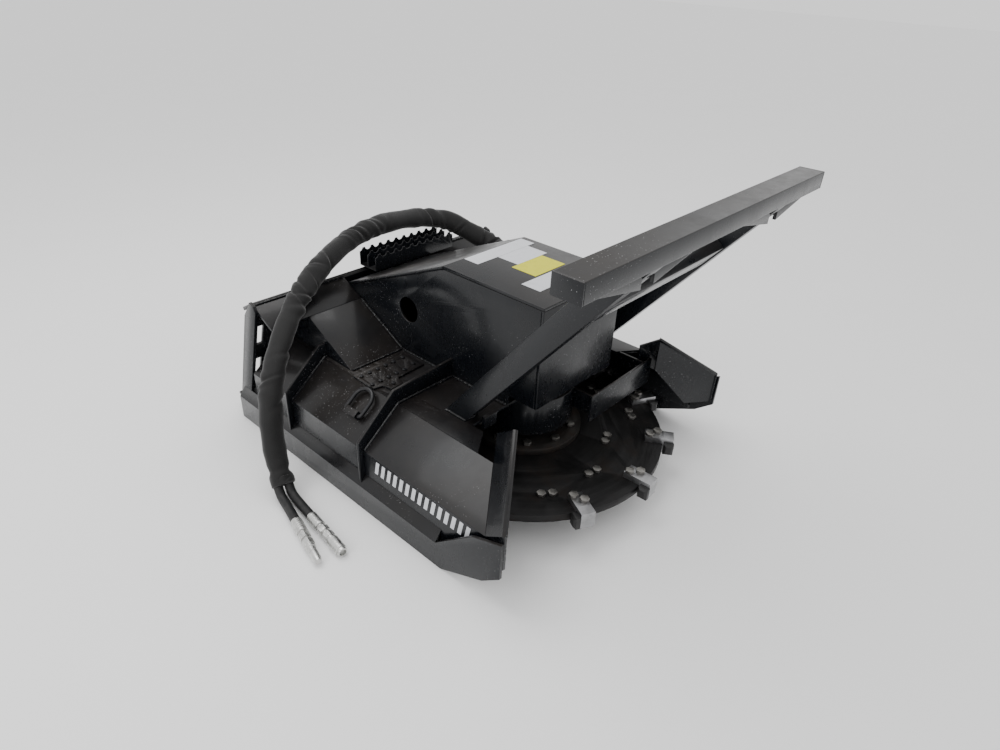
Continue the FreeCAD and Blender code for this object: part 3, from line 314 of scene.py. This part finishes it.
# ---------------------------------------------------------------- disc, hub and cutters
# A flame-cut disc of wear plate turns on a greased spindle. Its face is skimmed in
# a lathe, so it keeps fine rings, and the cutters on its rim are bare forgings.
def lathe_steel(name, dark, light, rust, metal=0.85, gloss=0.34):
    """Skimmed plate: fine rings about the axis, smears of paint, and brown bloom."""
    material, tree, shader, here = finish_of(name, {"Metallic": metal, "Specular IOR Level": 0.5})
    centred = here.node("ShaderNodeMapping", {}, {"Vector": here, "Location": (0, -DISC_CENTRE_Y, 0)})
    split = here.node("ShaderNodeSeparateXYZ", {}, {"Vector": centred})
    x, y = split, Shade(tree, split.socket.node.outputs[1])
    radius = (x * x + y * y) ** 0.5
    line = {"noise_dimensions": "1D"}
    ring = here.node("ShaderNodeTexNoise", line, {"W": radius, "Scale": 900.0, "Detail": 3.0})
    wide = here.node("ShaderNodeTexNoise", line, {"W": radius, "Scale": 42.0, "Detail": 2.0})
    cloud = here.noise(here, 11.0, 5.0, 0.62)
    scuff = here.noise(here, 70.0, 4.0, 0.6)
    base = (wide.band(0.3, 0.7) * 0.25 + cloud * 0.55).mix(dark, light)
    base = (cloud.band(0.52, 0.74) * 0.75).mix(base, rust)
    rough = gloss + ring * 0.14 + cloud.band(0.4, 0.7) * 0.2 + scuff * 0.1
    feed(tree, shader, Base_Color=base, Roughness=rough,
         Normal=bumped(here, ring * 0.3 + scuff * 0.5, 0.0006, 0.6))
    return material


disc_steel = lathe_steel("disc_steel", (0.012, 0.012, 0.0125, 1),
                         (0.045, 0.044, 0.044, 1), (0.03, 0.022, 0.018, 1))
hub_steel = lathe_steel("hub_steel", (0.03, 0.028, 0.027, 1),
                        (0.085, 0.078, 0.072, 1), (0.06, 0.036, 0.024, 1))
dressed("cutter_disc", disc_steel, 0.002, ROTOR)
dressed("hub_flange", hub_steel, 0.0016, ROTOR)


def bare_steel(name, dark, light, gloss=0.3, grain=120.0, metal=1.0):
    """Forged or plated steel: mottled colour, small dents and handling marks."""
    material, tree, shader, here = finish_of(name, {"Metallic": metal, "Specular IOR Level": 0.5})
    mottle = here.noise(here, grain, 4.0, 0.6)
    smear = here.noise(here, grain * 0.2, 3.0, 0.5)
    base = (mottle * 0.5 + smear.band(0.3, 0.7) * 0.5).mix(dark, light)
    feed(tree, shader, Base_Color=base, Roughness=gloss + smear * 0.22 + mottle * 0.08,
         Normal=bumped(here, mottle, 0.0008, 0.5))
    return material


holder_steel = bare_steel("holder_steel", (0.2, 0.2, 0.205, 1), (0.56, 0.56, 0.57, 1), 0.26, 90.0)
carbide = bare_steel("carbide", (0.008, 0.008, 0.009, 1), (0.035, 0.034, 0.034, 1), 0.3, 160.0, 0.4)
bolt_steel = bare_steel("bolt_steel", (0.12, 0.115, 0.105, 1), (0.4, 0.39, 0.37, 1), 0.3, 200.0)
black_steel = bare_steel("blackened_steel", (0.006, 0.006, 0.007, 1), (0.02, 0.02, 0.022, 1), 0.2, 140.0, 0.3)
dressed("tooth_holders", holder_steel, 0.0022, ROTOR)
dressed("carbide_teeth", carbide, 0.0012, ROTOR)
dressed("face_cutters", carbide, 0.002, ROTOR)
dressed("hub_bolts", bolt_steel, 0.001, ROTOR)
dressed("tooth_bolts", bolt_steel, 0.001, ROTOR)
dressed("face_cutter_bolts", bolt_steel, 0.001, ROTOR)
dressed("spindle", hub_steel, 0.001, ROTOR)
dressed("cover_bolts", black_steel, 0.0007)
for node, material in (("spindle_bearings", bolt_steel), ("motor_bolts", bolt_steel),
                       ("hydraulic_motor", paint), ("lifting_ring", black_steel)):
    mesh = bpy.data.objects[node].data
    mesh.materials.clear()
    mesh.materials.append(material)

# ---------------------------------------------------------------- hoses in their sleeve
# Two rubber hoses run in a sleeve of woven nylon, which is wider than they are, so
# it crumples at each bend and twists a little round them.


def line_of(name, points):
    """A smooth line that is pulled towards its points, as places in order."""
    curve = bpy.data.curves.new(name, "CURVE")
    curve.dimensions = "3D"
    curve.resolution_u = 24
    spline = curve.splines.new("NURBS")
    spline.points.add(len(points) - 1)
    for point, place in zip(spline.points, points):
        point.co = (*place, 1)
    spline.order_u = 3
    spline.use_endpoint_u = True
    holder = bpy.data.objects.new(name, curve)
    bpy.context.scene.collection.objects.link(holder)
    mesh = bpy.data.meshes.new_from_object(holder)
    places = np.empty(len(mesh.vertices) * 3)
    mesh.vertices.foreach_get("co", places)
    bpy.data.objects.remove(holder)
    bpy.data.curves.remove(curve)
    bpy.data.meshes.remove(mesh)
    return places.reshape(-1, 3)


def cloth_black(name):
    """Woven nylon: a fine plain weave, pale lint, and a slight sheen."""
    material, tree, shader, here = finish_of(name, {"Sheen Weight": 0.25, "Sheen Roughness": 0.4,
                                                    "Specular IOR Level": 0.3})
    plane = here.node("ShaderNodeTexCoord", {}, {}, out=2)
    warp = here.node("ShaderNodeTexWave", {"bands_direction": "X"}, {"Vector": plane, "Scale": 260.0,
                                                                     "Distortion": 0.4})
    weft = here.node("ShaderNodeTexWave", {"bands_direction": "Y"}, {"Vector": plane, "Scale": 60.0,
                                                                     "Distortion": 0.4})
    cloud = here.noise(here, 24.0, 4.0, 0.6)
    lint = here.noise(here, 320.0, 2.0, 0.5).band(0.7, 0.78)
    base = cloud.mix((0.0045, 0.0045, 0.0048, 1), (0.0125, 0.012, 0.0118, 1))
    base = (lint * 0.5).mix(base, (0.06, 0.058, 0.055, 1))
    feed(tree, shader, Base_Color=base, Roughness=0.62 + cloud * 0.2,
         Normal=bumped(here, warp * 0.5 + weft * 0.5 + cloud * 1.5, 0.0006, 0.5))
    return material


def with_map(piece, rows, columns, long, wide):
    """Unwraps a tube: along its length and round it, in metres."""
    mesh = piece.data
    layer = mesh.uv_layers.new(name="along_and_round")
    index = np.empty(len(mesh.loops), dtype=np.int32)
    mesh.loops.foreach_get("vertex_index", index)
    spot = np.stack([(index // columns) / (rows - 1) * long, (index % columns) / columns * wide], axis=1)
    layer.data.foreach_set("uv", spot.astype(np.float32).ravel())


SLEEVE = [(0.2151, -0.525, 0.491), (0.288, -0.525, 0.491), (0.368, -0.51, 0.487), (0.432, -0.462, 0.484),
          (0.462, -0.388, 0.488), (0.448, -0.306, 0.508), (0.396, -0.236, 0.548), (0.322, -0.17, 0.602),
          (0.228, -0.142, 0.62), (0.114, -0.126, 0.634), (-0.02, -0.12, 0.634), (-0.16, -0.137, 0.613),
          (-0.3, -0.182, 0.576), (-0.43, -0.242, 0.523), (-0.543, -0.313, 0.46), (-0.632, -0.366, 0.362),
          (-0.684, -0.406, 0.262), (-0.712, -0.442, 0.17), (-0.729, -0.484, 0.093), (-0.742, -0.528, 0.048)]
sleeve_line = line_of("sleeve_line", SLEEVE)
travel, places, ways = along(sleeve_line, 0.003)
AROUND = 72
turn = np.linspace(0, 2 * np.pi, AROUND, endpoint=False)[None, :]
go = travel[:, None]
folds = np.zeros((len(travel), AROUND))
for count in range(46):
    where = chance.uniform(0, travel[-1])
    facing = chance.uniform(0, 2 * np.pi)
    long = chance.uniform(0.014, 0.045)
    lean = chance.uniform(-18, 18)
    depth = chance.uniform(0.0014, 0.0046)
    spread = np.angle(np.exp(1j * (turn - facing)))
    offset = (go - where) - spread / 60 * np.sign(lean)
    folds -= depth * np.exp(-(offset / (long * 0.32)) ** 2) * np.exp(-(spread / 1.5) ** 2)
    folds += depth * 0.7 * np.exp(-((offset - long * 0.6) / (long * 0.4)) ** 2) * np.exp(-(spread / 1.7) ** 2)
twist = 0.0016 * np.sin(3 * turn + 9 * go) + 0.0012 * np.sin(2 * turn - 14 * go + 1.3)
wave = np.interp(travel, np.linspace(0, travel[-1], 70), chance.normal(0, 0.0013, 70))[:, None]
radius = 0.0368 + folds * 1.3 + twist + wave
gather = 0.004 * np.exp(-(travel - travel[-1] + 0.05) ** 2 / 0.012 ** 2)[:, None]
radius = np.clip(radius - gather, 0.027, 0.0405)
radius[0], radius[-1] = 0.036, 0.0335
sleeve_cloth = cloth_black("sleeve_nylon")
rings = carried(places, ways, radius)
sleeve = surface("hose_sleeve_cloth", rings, sleeve_cloth, FRAME, capped=True)
with_map(sleeve, len(travel), AROUND, float(travel[-1]), 0.22)
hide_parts("hose_sleeve")
end_way = sleeve_line[-1] - sleeve_line[-2]
end_way = end_way / np.linalg.norm(end_way)
cuff_steps = np.array([-0.026, -0.0255, -0.014, -0.012, -0.001, 0.0])
cuff_size = np.array([0.0345, 0.0368, 0.0372, 0.0366, 0.037, 0.0345])
cuff_places = sleeve_line[-1] + cuff_steps[:, None] * end_way
cuff_wave = 0.0006 * np.sin(9 * turn + 1.0) + 0.0004 * np.sin(5 * turn)
cuff = surface("hose_sleeve_cuff", carried(cuff_places, np.repeat(end_way[None], 6, axis=0),
                                           cuff_size[:, None] + cuff_wave), sleeve_cloth, FRAME,
               capped=True)


def rubber_black(name):
    """Hose cover: matt rubber with the cloth print of its mould, and chalky scuffs."""
    material, tree, shader, here = finish_of(name, {"Specular IOR Level": 0.4})
    cloud = here.noise(here, 60.0, 4.0, 0.6)
    fine = here.noise(here, 700.0, 2.0, 0.5)
    base = cloud.band(0.4, 0.75).mix((0.006, 0.006, 0.0065, 1), (0.022, 0.0215, 0.021, 1))
    feed(tree, shader, Base_Color=base, Roughness=0.42 + cloud * 0.25,
         Normal=bumped(here, fine + cloud, 0.0005, 0.4))
    return material


rubber = rubber_black("hose_rubber")
HOSES = {
    "a": [(-0.7583, -0.5233, 0.0479), (-0.7636, -0.5411, 0.0297), (-0.768, -0.566, 0.0215),
          (-0.776, -0.606, 0.0192), (-0.792, -0.668, 0.0192)],
    "b": [(-0.7257, -0.5329, 0.0479), (-0.731, -0.5507, 0.0297), (-0.734, -0.576, 0.0215),
          (-0.738, -0.616, 0.0192), (-0.746, -0.682, 0.0192)],
}
TAILS = {}
for name, points in HOSES.items():
    into_ferrule = np.array(points[-1]) + (np.array(points[-1]) - np.array(points[-2])) * 0.87
    tail_line = line_of("hose_line", points + [tuple(into_ferrule)])
    travel, places, ways = along(tail_line, 0.003)
    tube = carried(places, ways, np.full((len(travel), 36), HOSE_RADIUS))
    hose = surface("hose_tail_" + name, tube, rubber, FRAME, capped=True)
    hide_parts("hose_" + name)
    TAILS[name] = (hose, tail_line, float(travel[-1]))
for node in ("motor_lines", "hose_gland", "spindle_seal"):
    mesh = bpy.data.objects[node].data
    mesh.materials.clear()
    mesh.materials.append(rubber)

# ---------------------------------------------------------------- hose ends
# Each hose ends in a crimped ferrule, a hexagon adapter and a quick coupler, all
# turned from bar and zinc plated. One coupler has a sleeve that slides back.
zinc = bare_steel("zinc_plate", (0.42, 0.42, 0.41, 1), (0.78, 0.78, 0.76, 1), 0.16, 260.0)


def turned(name, start, way, profile, replaces=(), body=FRAME, sides=48, flats=None):
    """A part turned about a line: its profile is (distance along, radius) in metres, and
    between the two distances in flats its rings are six-sided."""
    way = np.array(way, float) / np.linalg.norm(way)
    profile = np.array(profile, float)
    ring = np.linspace(0, 2 * np.pi, sides, endpoint=False)
    radius = np.repeat(profile[:, 1][:, None], sides, axis=1)
    if flats:
        near_flat = (np.mod(ring + np.pi / 6, np.pi / 3) - np.pi / 6)
        hexagon = flats[2] / np.cos(near_flat)
        inside = (profile[:, 0] >= flats[0]) & (profile[:, 0] <= flats[1])
        radius[inside] = np.minimum(radius[inside], hexagon[None, :])
    places = np.array(start, float) + profile[:, 0][:, None] * way
    rings = carried(places, np.repeat(way[None], len(profile), axis=0), radius)
    piece = surface(name, rings, zinc, body, capped=True)
    piece.data.set_sharp_from_angle(angle=0.45)
    if replaces:
        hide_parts(*replaces)
    return piece


FERRULE = [(0, 0.0155), (0.0015, 0.0178)]
for groove in range(6):
    mark = 0.006 + groove * 0.0082
    FERRULE += [(mark, 0.0183), (mark + 0.0012, 0.0166), (mark + 0.0044, 0.0166), (mark + 0.0056, 0.0183)]
FERRULE += [(0.0565, 0.018), (0.058, 0.0165)]
ADAPTER = [(0, 0.0135), (0.0085, 0.0135), (0.0087, 0.016), (0.0105, 0.0186), (0.0295, 0.0186), (0.031, 0.016),
           (0.0313, 0.0138), (0.034, 0.0138), (0.0345, 0.0128), (0.0365, 0.0128), (0.037, 0.0138),
           (0.04, 0.0138)]
ENDS = {}
for name, points in HOSES.items():
    way = np.array(points[-1]) - np.array(points[-2])
    way = way / np.linalg.norm(way)
    start = np.array(points[-1]) + way * 0.0001
    ferrule = turned("ferrule_" + name, start, way, FERRULE, ("hose_ferrules",))
    start = start + way * 0.0581
    adapter = turned("adapter_" + name, start, way, ADAPTER, ("hose_adapters",),
                     flats=(0.0086, 0.0311, 0.0162))
    ENDS[name] = (start + way * 0.0401, way, [ferrule, adapter])
start, way, fittings_a = ENDS["a"]
plain = turned("coupler_plain", start, way, [
    (0, 0.0165), (0.0015, 0.0184), (0.022, 0.0184), (0.0235, 0.0165), (0.0238, 0.0155), (0.034, 0.0155),
    (0.035, 0.0134), (0.05, 0.0134), (0.0512, 0.0118), (0.0555, 0.0118), (0.0567, 0.0134), (0.079, 0.0134),
    (0.084, 0.0128), (0.093, 0.0104), (0.094, 0.0095)], ("coupler_male",), flats=(0.001, 0.023, 0.0164))
start, way, fittings_b = ENDS["b"]
socket = turned("coupler_socket", start, way, [
    (0, 0.0165), (0.0015, 0.0187), (0.0205, 0.0187), (0.022, 0.0165), (0.0223, 0.0155), (0.094, 0.0155),
    (0.096, 0.0146), (0.096, 0.0112), (0.093, 0.0108), (0.04, 0.0108)], ("coupler_female",),
    flats=(0.001, 0.0215, 0.0164))
KNURL = []
for groove in range(7):
    mark = 0.036 + groove * 0.0034
    KNURL += [(mark, 0.0188), (mark + 0.0009, 0.0181), (mark + 0.0018, 0.0181), (mark + 0.0027, 0.0188)]
collar = turned("coupler_sleeve", start, way, [
    (0.0322, 0.01568), (0.032, 0.0175), (0.0335, 0.0188)] + KNURL + [
    (0.063, 0.0188), (0.0645, 0.0172), (0.071, 0.0172), (0.0725, 0.0188), (0.084, 0.0188), (0.086, 0.0174),
    (0.0858, 0.01568)], ("locking_collar",), "collar")
for name, pieces in (("a", fittings_a + [plain]), ("b", fittings_b + [socket, collar])):
    hose, tail_line, long = TAILS[name]

# ---------------------------------------------------------------- stickers
# Plain vinyl without lettering: a white bar with a yellow panel on the tower, and
# a slanted hazard band on the side.


def vinyl(name, colour):
    """Vinyl film: even colour with faint grime and soft creases."""
    material, tree, shader, here = finish_of(name, {"Specular IOR Level": 0.35})
    grime = here.noise(here, 40.0, 5.0, 0.65)
    base = (grime.band(0.5, 0.8) * 0.35).mix((*colour, 1), tuple(0.6 * c for c in colour) + (1,))
    feed(tree, shader, Base_Color=base, Roughness=0.42 + grime * 0.2, Normal=bumped(here, grime, 0.0004, 0.3))
    return material


white = vinyl("white_vinyl", (0.62, 0.63, 0.66))
yellow = vinyl("yellow_vinyl", (0.62, 0.6, 0.02))


def patch(name, corners, material, thick=0.0006):
    """A thin film over a flat outline, thick along the outline's normal."""
    mesh = bpy.data.meshes.new(name)
    mesh.from_pydata(corners, [], [list(range(len(corners)))])
    mesh.materials.append(material)
    piece = bpy.data.objects.new(name, mesh)
    bpy.context.scene.collection.objects.link(piece)
    film = piece.modifiers.new("film", "SOLIDIFY")
    film.thickness = thick
    film.offset = -1
    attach(piece, FRAME)
    return piece


TOP = 0.7047
TOWER_FILM = {
    "film_white_rear": [(-0.105, -0.697), (0.172, -0.697), (0.172, -0.757), (-0.105, -0.757)],
    "film_white_middle": [(-0.012, -0.758), (0.136, -0.758), (0.136, -0.842), (-0.012, -0.842)],
    "film_white_front": [(-0.117, -0.948), (0.192, -0.948), (0.192, -0.967), (0.036, -0.967),
                         (0.036, -1.02), (-0.117, -1.02)],
    "film_yellow": [(-0.042, -0.843), (0.106, -0.843), (0.106, -0.94), (-0.042, -0.94)],
}
for name, corners in TOWER_FILM.items():
    patch(name, [(x, y, TOP) for x, y in corners[::-1]], yellow if name == "film_yellow" else white)
BARS = 15
for bar in range(BARS):
    begin = -0.792 - bar * 0.0276
    corners = [(begin, 0.158), (begin - 0.0145, 0.158), (begin - 0.0245, 0.206), (begin - 0.01, 0.206)]
    patch("hazard_bar_%02d" % (bar + 1), [(-0.5758, y, z) for y, z in corners], white)

# ---------------------------------------------------------------- floor and light
# A plain pale floor under broad, soft lamps.
floor_mesh = bpy.data.meshes.new("floor")
floor_mesh.from_pydata([(-30, -30, -0.0005), (30, -30, -0.0005), (30, 30, -0.0005), (-30, 30, -0.0005)], [],
                       [(0, 1, 2, 3)])
floor_paint, tree, shader, here = finish_of("floor", {"Roughness": 0.9, "Specular IOR Level": 0.1})
feed(tree, shader, Base_Color=here.noise(here, 2.0).mix((0.93, 0.93, 0.93, 1), (0.95, 0.95, 0.95, 1)))
floor_mesh.materials.append(floor_paint)
floor = bpy.data.objects.new("floor", floor_mesh)
bpy.context.scene.collection.objects.link(floor)
world = bpy.data.worlds.new("room")
bpy.context.scene.world = world
world.use_nodes = True
world.node_tree.nodes["Background"].inputs["Color"].default_value = (1, 1, 1, 1)
world.node_tree.nodes["Background"].inputs["Strength"].default_value = 1.15


def lamp(name, place, aim, wide, tall, watts, tint=(1, 1, 1)):
    light = bpy.data.lights.new(name, "AREA")
    light.shape = "RECTANGLE"
    light.size = wide
    light.size_y = tall
    light.energy = watts
    light.color = tint
    holder = bpy.data.objects.new(name, light)
    way = Vector(aim) - Vector(place)
    holder.matrix_world = Matrix.Translation(place) @ way.to_track_quat("-Z", "Y").to_matrix().to_4x4()
    bpy.context.scene.collection.objects.link(holder)


lamp("ceiling_lamp", (-0.6, 0.4, 3.6), (0, -0.8, 0.3), 2.4, 2.4, 60)
lamp("side_lamp", (-3.4, -0.9, 2.2), (0, -0.7, 0.3), 1.2, 1.8, 25)
